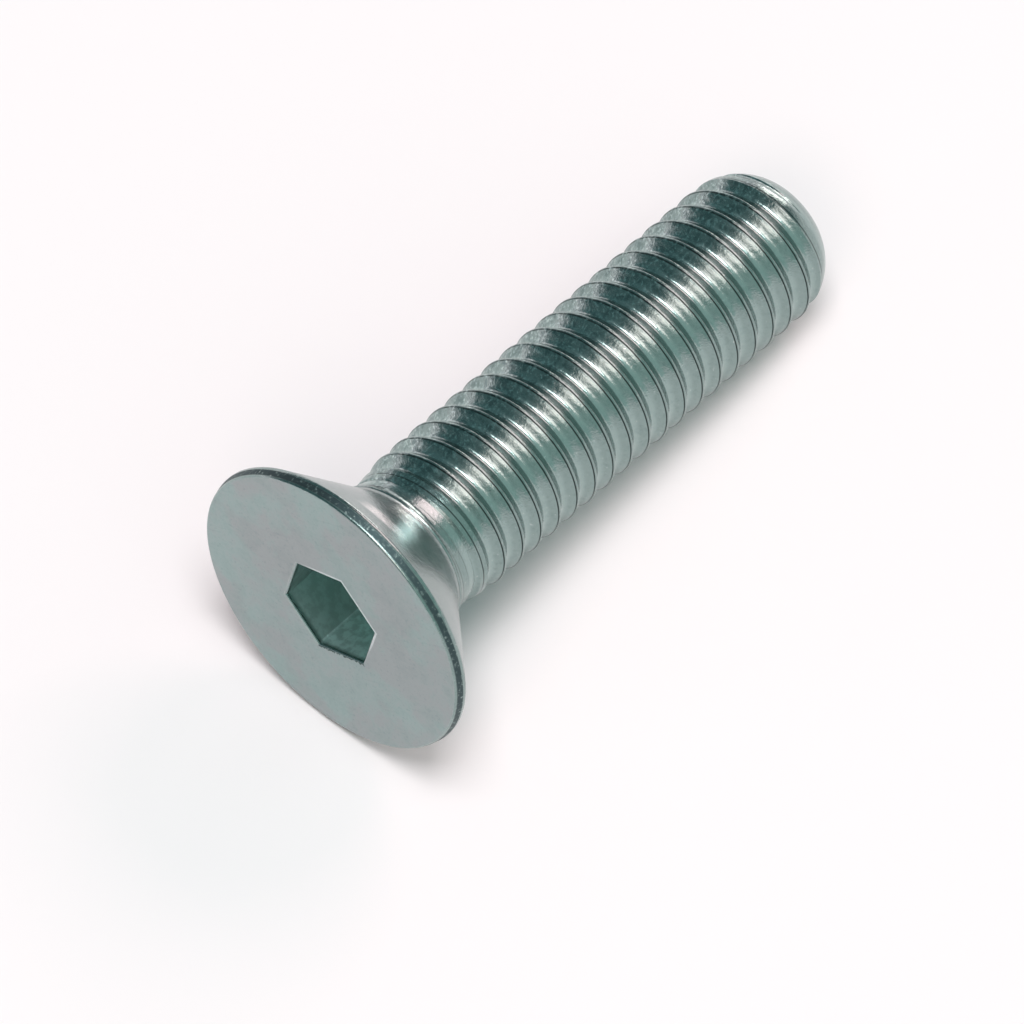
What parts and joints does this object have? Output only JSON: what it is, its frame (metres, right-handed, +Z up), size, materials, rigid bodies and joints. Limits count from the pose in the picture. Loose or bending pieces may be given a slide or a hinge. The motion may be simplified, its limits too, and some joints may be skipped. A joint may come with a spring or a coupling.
{
  "type": "countersunk socket screw",
  "caption": "Right-hand M5 machine screw with a 90 degree countersunk flat head and a hexagon socket, zinc plated, lying on its side.",
  "frame": {"origin": "on the surface that the screw lies on, under the centre of its bounding box", "axes": "+X along the longest side, from the head towards the tip; +Z up; the screw's own axis lies in the XZ plane and falls 7.5 degrees towards the tip, because the head's rim and the tip's crests both touch the surface"},
  "size_m": [0.0206, 0.0096, 0.0096],
  "materials": {
    "zinc_plated_steel": "bright zinc plate with a faint blue-green passivation"
  },
  "bodies": {
    "root": {"screw": "zinc_plated_steel"}
  },
  "joints": []
}
